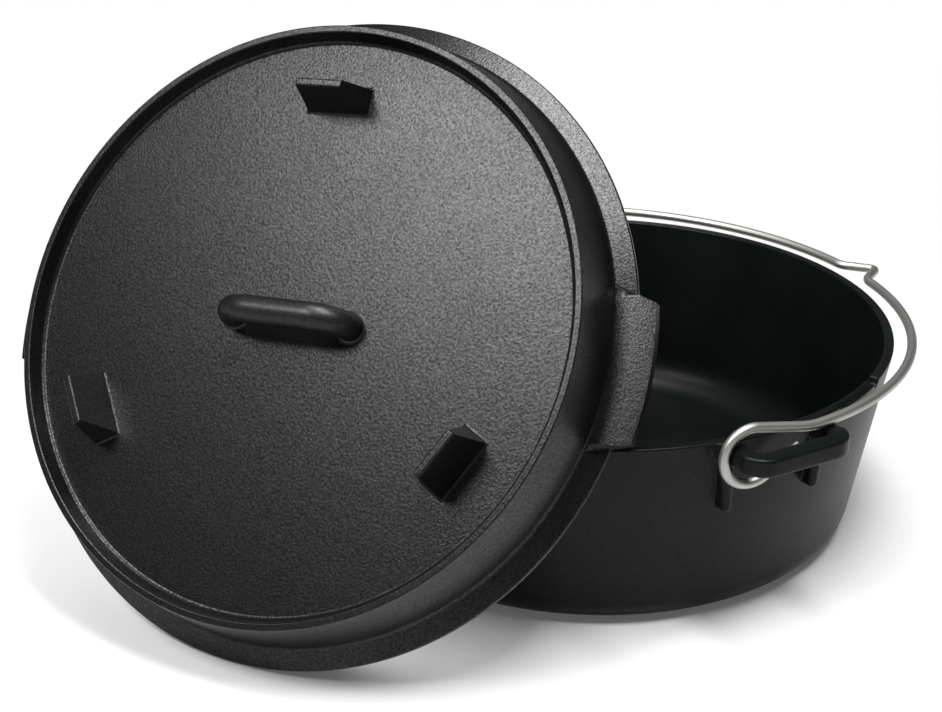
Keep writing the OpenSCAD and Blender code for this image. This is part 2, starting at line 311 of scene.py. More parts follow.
def grow(bm: BMesh, ring: list[BMEdge]) -> tuple[list[BMVert], list[BMEdge]]:
    """Extrudes a ring of edges without moving it.

    Args:
        bm: Mesh that holds the ring.
        ring: Edges of the ring.

    Returns:
        Vertices and edges of the new ring.
    """
    grown = bmesh.ops.extrude_edge_only(bm, edges=ring)["geom"]
    verts = [g for g in grown if isinstance(g, BMVert)]
    fresh = set(verts)
    return verts, [g for g in grown if isinstance(g, BMEdge) and fresh.issuperset(g.verts)]


def sweep(bm: BMesh, ring: list[BMEdge], frames: Sequence[Matrix]) -> None:
    """Draws a closed ring of edges along a row of frames and closes both ends.

    Args:
        bm: Mesh that holds the ring.
        ring: Edges of the ring, lying at the first frame.
        frames: Frames that the ring passes through.
    """
    first = ring
    for before, after in zip(frames, frames[1:]):
        verts, ring = grow(bm, ring)
        bmesh.ops.transform(bm, matrix=after @ before.inverted(), verts=verts)
    bmesh.ops.contextual_create(bm, geom=first)
    bmesh.ops.contextual_create(bm, geom=ring)
    bmesh.ops.recalc_face_normals(bm, faces=bm.faces)


def round_edges(
    bm: BMesh, edges: Sequence[BMEdge], width: float, segments: int, clamp: bool = False
) -> None:
    """Rounds edges of a mesh.

    Args:
        bm: Mesh that holds the edges.
        edges: Edges to round.
        width: How far the rounding reaches from the edge.
        segments: Number of steps across it.
        clamp: Whether it narrows where there is no room for it.
    """
    bmesh.ops.bevel(
        bm,
        geom=list(edges),
        offset=width,
        offset_type="OFFSET",
        segments=segments,
        profile=0.5,
        affect="EDGES",
        clamp_overlap=clamp,
        material=-1,
    )


def arc_points(
    middle: Vector, a: Vector, b: Vector, start: float, end: float, steps: int
) -> list[Vector]:
    """Points on an arc.

    Args:
        middle: Centre of the arc.
        a: Vector from the centre to the arc at an angle of 0.
        b: Vector from the centre to the arc at a right angle.
        start: First angle, in radians.
        end: Last angle, in radians.
        steps: Number of steps.

    Returns:
        Points from start to end.
    """
    angles = [start + (end - start) * i / steps for i in range(steps + 1)]
    return [middle + a * math.cos(t) + b * math.sin(t) for t in angles]


def soften(before: Vector, corner: Vector, after: Vector, reach: float, steps: int) -> list[Vector]:
    """Points on a quadratic curve that rounds a corner of a path.

    Args:
        before: Point that the path comes from.
        corner: The corner itself.
        after: Point that the path goes to.
        reach: Length of the curve's legs.
        steps: Number of steps.

    Returns:
        Points of the curve.
    """
    near = corner + (before - corner).normalized() * reach
    far = corner + (after - corner).normalized() * reach
    shares = [i / steps for i in range(steps + 1)]
    return [near * (1 - t) ** 2 + corner * 2 * t * (1 - t) + far * t * t for t in shares]


def join(target: BMesh, part: BMesh) -> None:
    """Adds a mesh to another and frees it.

    Args:
        target: Mesh that takes the part.
        part: Mesh to add.
    """
    carrier = bpy.data.meshes.new("carrier")
    part.to_mesh(carrier)
    part.free()
    target.from_mesh(carrier)
    bpy.data.meshes.remove(carrier)


def new_object(name: str, bm: BMesh) -> bpy.types.Object:
    """Makes an object of a mesh and puts it in the scene.

    Args:
        name: Name of the object and of its mesh.
        bm: The mesh. It is freed.

    Returns:
        The object.
    """
    mesh = bpy.data.meshes.new(name)
    bm.to_mesh(mesh)
    bm.free()
    made = bpy.data.objects.new(name, mesh)
    bpy.context.scene.collection.objects.link(made)
    return made


def cast_in_one(bm: BMesh, cutter: BMesh, voxel: float, passes: int) -> BMesh:
    """Melts overlapping solids into one casting with soft hollows, and cuts it off at a wall.

    Args:
        bm: Overlapping closed solids, in millimetres. It is freed.
        cutter: Solid that is taken away afterwards. It is freed.
        voxel: Size of the grid that melts them.
        passes: Passes of smoothing.

    Returns:
        The casting, in millimetres.
    """
    holders = [new_object("casting", part) for part in (bm, cutter)]
    body, knife = holders
    melt = body.modifiers.new("melt", "REMESH")
    melt.mode = "VOXEL"
    melt.voxel_size = voxel
    ease = body.modifiers.new("ease", "SMOOTH")
    ease.factor = MELT_EASE
    ease.iterations = passes
    trim = body.modifiers.new("trim", "BOOLEAN")
    trim.operation = "DIFFERENCE"
    trim.solver = "EXACT"
    trim.object = knife
    bpy.context.view_layer.update()
    evaluated = body.evaluated_get(bpy.context.evaluated_depsgraph_get())
    made = bmesh.new()
    made.from_mesh(evaluated.to_mesh())
    evaluated.to_mesh_clear()
    for holder in holders:
        mesh = holder.data
        bpy.data.objects.remove(holder)
        bpy.data.meshes.remove(mesh)
    bmesh.ops.remove_doubles(made, verts=made.verts, dist=MERGE_DIST)
    return made


def seat(
    name: str,
    bm: BMesh,
    place: Matrix,
    material: bpy.types.Material,
    body: Body,
    nodes: Sequence[str],
) -> None:
    """Makes a finished piece of a mesh, at the origin with its place in its mesh.

    Args:
        name: Name of the piece.
        bm: Mesh in millimetres. It is freed.
        place: Where the mesh lies in the part's frame, in millimetres.
        material: Finish of the piece.
        body: Body that it moves with.
        nodes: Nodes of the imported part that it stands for.
    """
    bmesh.ops.transform(bm, matrix=Matrix.Scale(MM, 4) @ place, verts=bm.verts)
    piece = new_object(name, bm)
    piece.data.shade_smooth()
    piece.data.materials.append(material)
    even = piece.modifiers.new("even_shading", "WEIGHTED_NORMAL")
    even.keep_sharp = True
    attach(piece, body.value)
    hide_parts(*nodes)
    LOG.info("%s: %d faces on body %s", name, len(piece.data.polygons), body.value)


@dataclass(frozen=True)
class SeasonedIron:
    """Sand-cast grey iron under a film of baked-on oil.

    The film gives a satin sheen on near-black, and the sand's grain breaks the sheen into fine pebbles.
    """

    name: str
    film: str
    thin_film: str
    roughness: float
    grain_mm: float
    grain_depth_mm: float
    breakup: float = 0.5
    grain_detail: float = 1.5
    sand_mm: float = 0.45
    sand_detail: float = 1.0
    sand_share: float = 0.35
    patch_mm: float = 38.0
    patch_detail: float = 2.0
    patch_low: float = 0.2
    patch_high: float = 0.8
    patch_roughness: float = 0.012
    specular: float = 0.4
    grain_gloss: float = 0.3
    grain_low: float = 0.36
    grain_high: float = 0.64

    def build(self) -> bpy.types.Material:
        """Makes the node material.

        Returns:
            The material.
        """
        material, tree = new_tree(self.name)
        spot = add_node(tree, "ShaderNodeTexCoord").outputs["Object"]
        patterns = (
            (self.grain_mm, self.grain_detail),
            (self.sand_mm, self.sand_detail),
            (self.patch_mm, self.patch_detail),
        )
        grain, sand, patches = (
            add_node(
                tree,
                "ShaderNodeTexNoise",
                {"Vector": spot, "Scale": per_mm(size), "Detail": detail, "Roughness": self.breakup},
            ).outputs["Fac"]
            for size, detail in patterns
        )
        height = add_node(
            tree,
            "ShaderNodeMix",
            {0: self.sand_share, 2: grain, 3: sand},
            data_type="FLOAT",
        ).outputs[0]
        bump = add_node(
            tree,
            "ShaderNodeBump",
            {"Height": height, "Distance": self.grain_depth_mm * MM, "Strength": 1.0},
        )
        tone = add_node(
            tree,
            "ShaderNodeMapRange",
            {"Value": patches, "From Min": self.patch_low, "From Max": self.patch_high},
            interpolation_type="SMOOTHSTEP",
        ).outputs["Result"]
        colour = add_node(
            tree,
            "ShaderNodeMix",
            {0: tone, 6: linear(self.film), 7: linear(self.thin_film)},
            data_type="RGBA",
        )
        gloss = add_node(
            tree,
            "ShaderNodeMapRange",
            {
                "Value": tone,
                "To Min": self.roughness + self.patch_roughness,
                "To Max": self.roughness - self.patch_roughness,
            },
        )
        shine = add_node(
            tree,
            "ShaderNodeMapRange",
            {
                "Value": height,
                "From Min": self.grain_low,
                "From Max": self.grain_high,
                "To Min": self.specular * (1 - self.grain_gloss),
                "To Max": self.specular * (1 + self.grain_gloss),
            },
        )
        shader = add_node(
            tree,
            "ShaderNodeBsdfPrincipled",
            {
                "Base Color": colour.outputs[2],
                "Roughness": gloss.outputs["Result"],
                "Specular IOR Level": shine.outputs["Result"],
                "Normal": bump.outputs["Normal"],
            },
        )
        add_node(tree, "ShaderNodeOutputMaterial", {"Surface": shader.outputs["BSDF"]})
        return material


@dataclass(frozen=True)
class DrawnStainless:
    """Stainless wire as it leaves the drawing die.

    Fine lines run along the wire, so that its highlight breaks into long bright and dark streaks.
    """

    name: str = "drawn_stainless_wire"
    metal: str = "#cfcfcb"
    dull: str = "#939390"
    roughness_low: float = 0.38
    roughness_high: float = 0.58
    lines_round: float = 7.0
    line_length_mm: float = 45.0
    line_depth_mm: float = 0.012
    line_detail: float = 3.0
    line_breakup: float = 0.65
    line_low: float = 0.32
    line_high: float = 0.68

    def build(self) -> bpy.types.Material:
        """Makes the node material, which reads the wire's own direction from an attribute.

        Returns:
            The material.
        """
        material, tree = new_tree(self.name)
        along = add_node(tree, "ShaderNodeAttribute", attribute_name=Bail.ATTRIBUTE).outputs["Vector"]
        scale = (self.lines_round, self.lines_round, 1 / self.line_length_mm)
        stretch = add_node(tree, "ShaderNodeMapping", {"Vector": along, "Scale": scale})
        lines = add_node(
            tree,
            "ShaderNodeTexNoise",
            {
                "Vector": stretch.outputs["Vector"],
                "Scale": 1.0,
                "Detail": self.line_detail,
                "Roughness": self.line_breakup,
            },
        ).outputs["Fac"]
        share = add_node(
            tree,
            "ShaderNodeMapRange",
            {"Value": lines, "From Min": self.line_low, "From Max": self.line_high},
        ).outputs["Result"]
        colour = add_node(
            tree,
            "ShaderNodeMix",
            {0: share, 6: linear(self.dull), 7: linear(self.metal)},
            data_type="RGBA",
        )
        gloss = add_node(
            tree,
            "ShaderNodeMapRange",
            {"Value": share, "To Min": self.roughness_high, "To Max": self.roughness_low},
        )
        bump = add_node(
            tree,
            "ShaderNodeBump",
            {"Height": lines, "Distance": self.line_depth_mm * MM, "Strength": 1.0},
        )
        shader = add_node(
            tree,
            "ShaderNodeBsdfPrincipled",
            {
                "Base Color": colour.outputs[2],
                "Metallic": 1.0,
                "Roughness": gloss.outputs["Result"],
                "Normal": bump.outputs["Normal"],
            },
        )
        add_node(tree, "ShaderNodeOutputMaterial", {"Surface": shader.outputs["BSDF"]})
        return material


@dataclass
class Pot:
    """The pot's casting without its ears: floor, wall, rim, and the notch and ledge in the rim."""

    rim_r: float = 155.0
    height: float = 102.0
    base_r: float = 138.0
    wall: float = 5.0
    floor_t: float = 6.0
    base_round: float = 16.0
    floor_fillet: float = 20.0
    rim_round: float = 1.0
    fine_z: float = 90.0
    notch_bearing: float = -60.6
    notch_w: float = 4.5
    notch_d: float = 4.0
    notch_ease: float = 0.999
    ledge_span: float = 14.2
    ledge_w: float = 2.5
    ledge_d: float = 1.6
    soft_edge: float = 0.35
    fine_before: float = 16.5
    fine_after: float = 2.5
    fine_step: float = 0.1
    coarse_steps: int = 220
    top_edge: float = 0.3
    lip_edge: float = 1.2
    wall_edge: float = 8.0

    @property
    def slope(self) -> float:
        """How far the wall leans out for each millimetre up."""
        return (self.rim_r - self.base_r) / self.height

    def outer_r(self, z: float) -> float:
        """Radius of the outside at a height."""
        return self.base_r + self.slope * z

    def outline(self) -> list[Corner]:
        """Draws half a section of the pot.

        Returns:
            Corners from the middle of its underside to the middle of its floor.
        """
        floor_r = self.outer_r(self.floor_t) - self.wall
        return [
            Corner(0, 0),
            Corner(self.base_r, 0, self.base_round),
            Corner(self.outer_r(self.fine_z), self.fine_z),
            Corner(self.rim_r, self.height, self.rim_round),
            Corner(self.rim_r - self.wall, self.height, self.rim_round),
            Corner(self.outer_r(self.fine_z) - self.wall, self.fine_z),
            Corner(floor_r, self.floor_t, self.floor_fillet),
            Corner(0, self.floor_t),
        ]

    def edge_length(self, spot: Vector) -> float:
        """Gives the longest edge of the outline: short on the rim's top, longer on the wall below it.

        Args:
            spot: Point of the outline.

        Returns:
            The length.
        """
        if spot.z > self.height - MERGE_DIST:
            return self.top_edge
        return self.lip_edge if spot.z > self.fine_z else self.wall_edge

    def notch_depth(self, s: float) -> float:
        """Works out how deep the notch is.

        Args:
            s: Distance along the rim from the notch's middle.

        Returns:
            Its depth there.
        """
        half = self.notch_w / 2
        reach = abs(s)
        if reach < half:
            return self.notch_d - half + math.sqrt(half * half - reach * reach) * self.notch_ease
        rest = (reach - half) / self.soft_edge
        return max(0.0, self.notch_d - half) * max(0.0, 1 - rest)

    def ledge_depth(self, s: float, inset: float) -> float:
        """Works out how deep the ledge is.

        Args:
            s: Distance along the rim from the notch's middle.
            inset: Distance in from the outer face.

        Returns:
            Its depth there.
        """
        length = math.radians(self.ledge_span) * self.rim_r
        along = min(1.0, max(0.0, (s + length) / self.soft_edge)) if s < 0 else 0.0
        inward = min(1.0, max(0.0, (self.ledge_w + self.soft_edge / 2 - inset) / self.soft_edge))
        return self.ledge_d * along * inward

    def lower_rim(self, bm: BMesh) -> None:
        """Lowers the rim where the notch and the ledge are.

        Args:
            bm: The pot's shell.
        """
        for v in bm.verts:
            reach = (v.co.z - self.fine_z) / (self.height - self.fine_z)
            if reach <= 0:
                continue
            radius = v.co.xy.length
            turn = math.degrees(math.atan2(v.co.y, v.co.x)) - self.notch_bearing
            s = math.radians(turn) * self.rim_r
            inset = self.outer_r(v.co.z) - radius
            drop = max(self.notch_depth(s), self.ledge_depth(s, inset)) * reach
            v.co.xy *= (radius - self.slope * drop) / radius
            v.co.z -= drop

    def build(self, finish: bpy.types.Material) -> None:
        """Makes the pot.

        Args:
            finish: Its material.
        """
        fine = self.fine_before + self.fine_after
        bm = lathe(
            self.outline(),
            [(fine, round(fine / self.fine_step)), (FULL_TURN - fine, self.coarse_steps)],
            self.notch_bearing - self.fine_before,
            self.edge_length,
        )
        self.lower_rim(bm)
        nodes = ("pot_floor", "pot_corner", "pot_wall")
        seat("pot", bm, Matrix.Identity(4), finish, Body.POT, nodes)


@dataclass
class Ear:
    """A loop ear with its two gusset ribs, cast on under the rim.

    X points out from the pot and Y along the rim.
    """

    pot: Pot
    width: float = 59.0
    bar: float = 10.0
    thickness: float = 9.2
    corner: float = 12.5
    slot_round: float = 2.6
    nose_round: float = 1.3
    arm_round: float = 3.9
    outer_u: float = 177.3
    root_round: float = 7.5
    root_inset: float = 1.3
    rib_t: float = 8.0
    rib_side: float = 1.0
    rib_taper: float = 3.5
    rib_h: float = 27.0
    rib_u: float = 155.0
    rib_round: float = 2.2
    sink: float = 12.0
    skin: float = 0.3
    trim: float = 0.12
    skin_span: float = 30.0
    skin_low: float = 58.0
    skin_t: float = 3.6
    skin_steps: int = 60
    core_steps: int = 720
    voxel: float = 0.6
    passes: int = 14
    bend_steps: int = 10
    rib_steps: int = 3

    def drawn(self, path: Sequence[Vector], outer_round: float) -> BMesh:
        """Sweeps the ear's section along a path.

        Args:
            path: Middle line, which starts on the side that its first point lies on.
            outer_round: Rounding of the two edges away from the slot.

        Returns:
            The swept solid.
        """
        bm = bmesh.new()
        half = self.bar / 2
        tall = self.thickness / 2
        frames = frames_along(path, Vector((0, path[0].y, 0)))
        section = [
            Corner(-half, -tall, self.slot_round),
            Corner(half, -tall, outer_round),
            Corner(half, tall, outer_round),
            Corner(-half, tall, self.slot_round),
        ]
        rounded_chain(bm, section, frames[0], closed=True)
        sweep(bm, list(bm.edges), frames)
        return bm

    def loop(self) -> BMesh:
        """Makes the bar with its two bends, and the two rounder arms that the wire's eye goes round.

        Returns:
            The loop's solids.
        """
        half = self.bar / 2
        arm_v = self.width / 2 - half
        radius = self.corner - half
        middle_z = self.pot.height - self.thickness / 2
        bend = Vector((self.outer_u - self.corner, arm_v - radius, middle_z))
        out = Vector((radius, 0, 0))
        side = Vector((0, radius, 0))
        path = arc_points(bend, out, side, math.pi / 2, 0, self.bend_steps)
        path += [Vector((p.x, -p.y, p.z)) for p in reversed(path)]
        bm = self.drawn(path, self.nose_round)
        root_u = self.pot.rim_r - self.sink
        for v in (arm_v, -arm_v):
            ends = (Vector((root_u, v, middle_z)), Vector((bend.x + half / 2, v, middle_z)))
            join(bm, self.drawn(ends if v > 0 else ends[::-1], self.arm_round))
        return bm

    def rib(self, side: int) -> BMesh:
        """Makes one gusset rib, whose outer side slants in towards its lower end.

        Args:
            side: 1 or -1 for the end of the ear.

        Returns:
            The rib.
        """
        bm = bmesh.new()
        root = self.pot.base_r - self.skin_t
        top = self.pot.height - self.thickness / 2
        low = self.pot.height - self.thickness - self.rib_h
        size = Vector((self.rib_u - root, self.rib_t, top - low))
        middle_v = self.width / 2 + self.rib_side - self.rib_t / 2
        middle = Vector(((self.rib_u + root) / 2, side * middle_v, (top + low) / 2))
        place = Matrix.Translation(middle) @ Matrix.Diagonal((*size, 1))
        bmesh.ops.create_cube(bm, size=1, matrix=place)
        for v in bm.verts:
            if v.co.z < middle.z and abs(v.co.y) > abs(middle.y):
                v.co.y -= side * self.rib_taper
        round_edges(bm, bm.edges, self.rib_round, self.rib_steps)
        return bm

    def root_hollow(self, side: int) -> BMesh:
        """Makes the hollow corner that leads from the rim into one arm.

        Args:
            side: 1 or -1 for the end of the ear.

        Returns:
            The corner's solid.
        """
        bm = bmesh.new()
        arm_v = self.width / 2 - self.root_inset
        reach = arm_v + self.root_round
        middle = Vector((math.sqrt((self.pot.rim_r + self.root_round) ** 2 - reach**2), reach, 0))
        to_rim = math.atan2(-middle.y, -middle.x)
        across = Vector((self.root_round, 0, 0))
        along = Vector((0, self.root_round, 0))
        arc = arc_points(middle, across, along, -math.pi / 2, to_rim, self.bend_steps)
        root_u = self.pot.rim_r - self.sink
        inner_v = arm_v - self.bar / 2
        outline = [
            *arc,
            Vector((root_u, arc[-1].y, 0)),
            Vector((root_u, inner_v, 0)),
            Vector((arc[0].x, inner_v, 0)),
        ]
        low = Matrix.Translation((0, 0, self.pot.height - self.thickness))
        rounded_chain(bm, [Corner(p.x, side * p.y) for p in outline], low, closed=True)
        floor = bmesh.ops.contextual_create(bm, geom=list(bm.edges))["faces"]
        grown = bmesh.ops.extrude_face_region(bm, geom=floor)["geom"]
        raised = [g for g in grown if isinstance(g, BMVert)]
        bmesh.ops.translate(bm, verts=raised, vec=(0, 0, self.thickness))
        bmesh.ops.recalc_face_normals(bm, faces=bm.faces)
        return bm

    def wall_skin(self) -> BMesh:
        """Makes a patch of the pot's wall, a little below its surface, for the ear to melt into.

        Returns:
            The patch.
        """
        pot = self.pot
        top = pot.height - 2 * self.skin
        corners = [
            Corner(pot.outer_r(self.skin_low) - self.skin - self.skin_t, self.skin_low),
            Corner(pot.outer_r(self.skin_low) - self.skin, self.skin_low),
            Corner(pot.outer_r(top) - self.skin, top),
            Corner(pot.outer_r(top) - self.skin - self.skin_t, top),
        ]
        return wedge(corners, self.skin_span, self.skin_steps)

    def pot_core(self) -> BMesh:
        """Makes the solid inside the pot's outer face, which the casting is cut off by.

        Returns:
            The solid.
        """
        pot = self.pot
        over = 2 * pot.height
        corners = [
            Corner(0, -pot.height),
            Corner(pot.outer_r(-pot.height) - self.trim, -pot.height),
            Corner(pot.outer_r(over) - self.trim, over),
            Corner(0, over),
        ]
        return lathe(corners, [(FULL_TURN, self.core_steps)], longest=lambda _: math.inf)

    def build(self, name: str, bearing: float, finish: bpy.types.Material) -> None:
        """Makes one ear.

        Args:
            name: Name of the ear and of the node that it stands for.
            bearing: Direction that the ear points to, in degrees.
            finish: Its material.
        """
        bm = self.loop()
        for side in (1, -1):
            join(bm, self.rib(side))
            join(bm, self.root_hollow(side))
        join(bm, self.wall_skin())
        bm = cast_in_one(bm, self.pot_core(), self.voxel, self.passes)
        seat(name + "_casting", bm, turned(bearing), finish, Body.POT, (name,))


@dataclass
class Lid:
    """The lid's casting. Its own frame has the seat at a height of 0 and the handle along X."""

    at: tuple[float, float, float] = (-159.248, -10.577, 127.624)
    facing: float = 214.6
    tilt: float = 55.0
    roll: float = 94.0
    edge_r: float = 155.8
    edge_t: float = 2.6
    flange_in_r: float = 146.0
    flange_h: float = 7.0
    lip_r: float = 140.5
    lip_h: float = 36.0
    lip_w: float = 3.25
    lip_round: float = 0.7
    tray_r: float = 135.25
    tray_z: float = 28.0
    tray_round: float = 2.4
    plate_t: float = 5.0
    under_r: float = 137.47
    ring_fillet: float = 2.5
    hollow_r: float = 140.5
    skirt_h: float = 10.0
    skirt_r: float = 148.8
    skirt_low_r: float = 147.13
    skirt_w: float = 3.2
    edge_round: float = 1.0
    turn_steps: int = 300

    def place(self) -> Matrix:
        """Where the lid stands, leaning on the pot."""
        lean = turned(self.facing) @ turned(self.tilt, "Y") @ turned(self.roll)
        return Matrix.Translation(self.at) @ lean

    def outline(self) -> list[Corner]:
        """Draws half a section of the lid.

        Returns:
            Corners from the middle of its underside to the middle of its tray.
        """
        return [
            Corner(0, self.tray_z - self.plate_t),
            Corner(self.under_r, self.tray_z - self.plate_t, self.ring_fillet),
            Corner(self.hollow_r, 0),
            Corner(self.skirt_low_r - self.skirt_w, -self.skirt_h, self.edge_round),
            Corner(self.skirt_low_r, -self.skirt_h, self.edge_round),
            Corner(self.skirt_r, 0, self.edge_round / 2),
            Corner(self.edge_r, 0, self.edge_round),
            Corner(self.edge_r, self.edge_t, self.edge_round),
            Corner(self.flange_in_r, self.flange_h, self.ring_fillet),
            Corner(self.lip_r, self.lip_h, self.lip_round),
            Corner(self.lip_r - self.lip_w, self.lip_h, self.lip_round),
            Corner(self.tray_r, self.tray_z, self.tray_round),
            Corner(0, self.tray_z),
        ]

    def build(self, finish: bpy.types.Material) -> None:
        """Makes the lid's plate, coal ring, flange and skirt in one.

        Args:
            finish: Their material.
        """
        bm = lathe(self.outline(), [(FULL_TURN, self.turn_steps)])
        nodes = ("lid_plate", "coal_ring", "lid_flange", "lid_skirt")
        seat("lid", bm, self.place(), finish, Body.LID, nodes)


@dataclass
class LiftTab:
    """A thick tab on the lid's flange, to lift the lid by. Its ends slant in towards its edge."""

    lid: Lid
    out: float = 8.5
    span: float = 30.0
    slant: float = 4.0
    thickness: float = 5.6
    inset: float = 0.0
    sink: float = 2.0
    under_share: float = 0.3
    rounding: float = 0.9
    round_steps: int = 4
    crease: float = 40.0
    steps: int = 32

    def cut_end(self, bm: BMesh, side: int) -> None:
        """Cuts one end off along its slant and closes it.

        Args:
            bm: The tab, longer than it should be.
            side: 1 or -1 for the end.
        """
        root = turned(side * self.span / 2) @ Vector((self.lid.flange_in_r + self.inset, 0, 0))
        tip = turned(side * (self.span / 2 - self.slant)) @ Vector((self.lid.edge_r + self.out, 0, 0))
        outward = (tip - root).cross(Vector((0, 0, 1))) * -side
        bmesh.ops.bisect_plane(
            bm,
            geom=[*bm.verts, *bm.edges, *bm.faces],
            plane_co=root,
            plane_no=outward,
            clear_outer=True,
        )
        bmesh.ops.holes_fill(bm, edges=[e for e in bm.edges if e.is_boundary])

    def build(self, name: str, bearing: float, finish: bpy.types.Material) -> None:
        """Makes one tab.

        Args:
            name: Name of the tab and of the node that it stands for.
            bearing: Direction of the tab in the lid's frame, in degrees.
            finish: Its material.
        """
        lid = self.lid
        in_r = lid.flange_in_r + self.inset
        out_r = lid.edge_r + self.out
        fall = (lid.flange_h - lid.edge_t) / (lid.edge_r - lid.flange_in_r)
        in_z = lid.flange_h - self.inset * fall
        corners = [
            Corner(lid.edge_r - self.sink, lid.edge_t * self.under_share),
            Corner(out_r, 0),
            Corner(out_r, self.thickness),
            Corner(in_r, in_z),
            Corner(in_r, in_z - self.sink),
            Corner(lid.edge_r - self.sink, lid.edge_t),
        ]
        bm = wedge(corners, self.span + 2 * self.slant, self.steps)
        self.cut_end(bm, 1)
        self.cut_end(bm, -1)
        bmesh.ops.recalc_face_normals(bm, faces=bm.faces)
        tip_edges = [
            e
            for e in bm.edges
            if e.calc_face_angle(0.0) > math.radians(self.crease)
            and min(v.co.xy.length for v in e.verts) > lid.edge_r
        ]
        round_edges(bm, tip_edges, self.rounding, self.round_steps, clamp=True)
        place = lid.place() @ turned(bearing)
        seat(name + "_casting", bm, place, finish, Body.LID, (name,))


@dataclass
class LidHandle:
    """The bridge handle on the middle of the lid, a round bar whose two posts flare into the tray."""

    lid: Lid
    length: float = 73.0
    thickness: float = 13.0
    gap: float = 9.0
    bend: float = 15.0
    flare: float = 1.2
    sink: float = 0.4
    sides: int = 40
    flare_steps: int = 6
    bend_steps: int = 14
    bar_steps: int = 10

    def build(self, finish: bpy.types.Material) -> None:
        """Makes the handle.

        Args:
            finish: Its material.
        """
        radius = self.thickness / 2
        post_x = self.length / 2 - radius
        bar_z = self.gap + radius
        up = Vector((0, 0, 1))
        path = [Vector((post_x, 0, -self.sink))]
        widths = [radius + self.flare]
        for i in range(self.flare_steps + 1):
            turn = math.pi / 2 * i / self.flare_steps
            path.append(Vector((post_x, 0, self.flare * (1 - math.cos(turn)))))
            widths.append(radius + self.flare * (1 - math.sin(turn)))
        middle = Vector((post_x - self.bend, 0, bar_z - self.bend))
        out = Vector((self.bend, 0, 0))
        path += arc_points(middle, out, up * self.bend, 0, math.pi / 2, self.bend_steps)
        for i in range(1, self.bar_steps // 2):
            path.append(Vector(((post_x - self.bend) * (1 - 2 * i / self.bar_steps), 0, bar_z)))
        widths += [radius] * (len(path) - len(widths))
        path += [Vector((-p.x, p.y, p.z)) for p in reversed(path)]
        widths += list(reversed(widths))
        frames = [
            turn @ Matrix.Scale(width, 4)
            for turn, width in zip(frames_along(path, Vector((0, 1, 0))), widths)
        ]
        bm = bmesh.new()
        bmesh.ops.create_circle(bm, segments=self.sides, radius=1, matrix=frames[0])
        sweep(bm, list(bm.edges), frames)
        place = self.lid.place() @ Matrix.Translation((0, 0, self.lid.tray_z))
        seat("lid_handle_casting", bm, place, finish, Body.LID, ("lid_handle",))


@dataclass
class LidFoot:
    """A foot that the lid stands on upside down: a tapered block that flares into the tray."""

    lid: Lid
    middle_r: float = 106.25
    height: float = 23.5
    root_l: float = 31.5
    top_l: float = 23.5
    root_t: float = 13.0
    top_t: float = 3.5
    edge_round: float = 0.7
    flare: float = 0.9
    sink: float = 0.4
    flare_steps: int = 5
    round_steps: int = 4

    def width_at(self, z: float) -> tuple[float, float]:
        """Works out the foot's section.

        Args:
            z: Height above the tray.

        Returns:
            Thickness and length of the foot there.
        """
        share = z / self.height
        return (
            self.root_t + (self.top_t - self.root_t) * share,
            self.root_l + (self.top_l - self.root_l) * share,
        )

    def build(self, name: str, bearing: float, finish: bpy.types.Material) -> None:
        """Makes one foot.

        Args:
            name: Name of the foot and of the node that it stands for.
            bearing: Direction of the foot in the lid's frame, in degrees.
            finish: Its material.
        """
        bm = bmesh.new()
        bmesh.ops.create_cube(bm, size=1)
        for v in bm.verts:
            z = self.height if v.co.z > 0 else self.flare
            across, along = self.width_at(z)
            v.co = Vector((math.copysign(across / 2, v.co.x), math.copysign(along / 2, v.co.y), z))
        under = min(bm.faces, key=lambda f: f.calc_center_median().z)
        free = [e for e in bm.edges if e not in under.edges[:]]
        bmesh.ops.delete(bm, geom=[under], context="FACES_ONLY")
        round_edges(bm, free, self.edge_round, self.round_steps)
        ring = [e for e in bm.edges if e.is_boundary]
        last = Vector((*self.width_at(self.flare), self.flare))
        for i in range(1, self.flare_steps + 2):
            turn = min(1.0, i / self.flare_steps) * math.pi / 2
            z = self.flare * (1 - math.sin(turn)) if i <= self.flare_steps else -self.sink
            spread = 2 * self.flare * (1 - math.cos(turn))
            across, along = self.width_at(z)
            here = Vector((across + spread, along + spread, z))
            verts, ring = grow(bm, ring)
            step = Matrix.Diagonal((here.x / last.x, here.y / last.y, 1, 1))
            bmesh.ops.transform(bm, matrix=step, verts=verts)
            bmesh.ops.translate(bm, verts=verts, vec=(0, 0, here.z - last.z))
            last = here
        bmesh.ops.contextual_create(bm, geom=ring)
        bmesh.ops.recalc_face_normals(bm, faces=bm.faces)
        shift = Matrix.Translation((self.middle_r, 0, self.lid.tray_z))
        place = self.lid.place() @ turned(bearing) @ shift
        seat(name + "_casting", bm, place, finish, Body.LID, (name,))


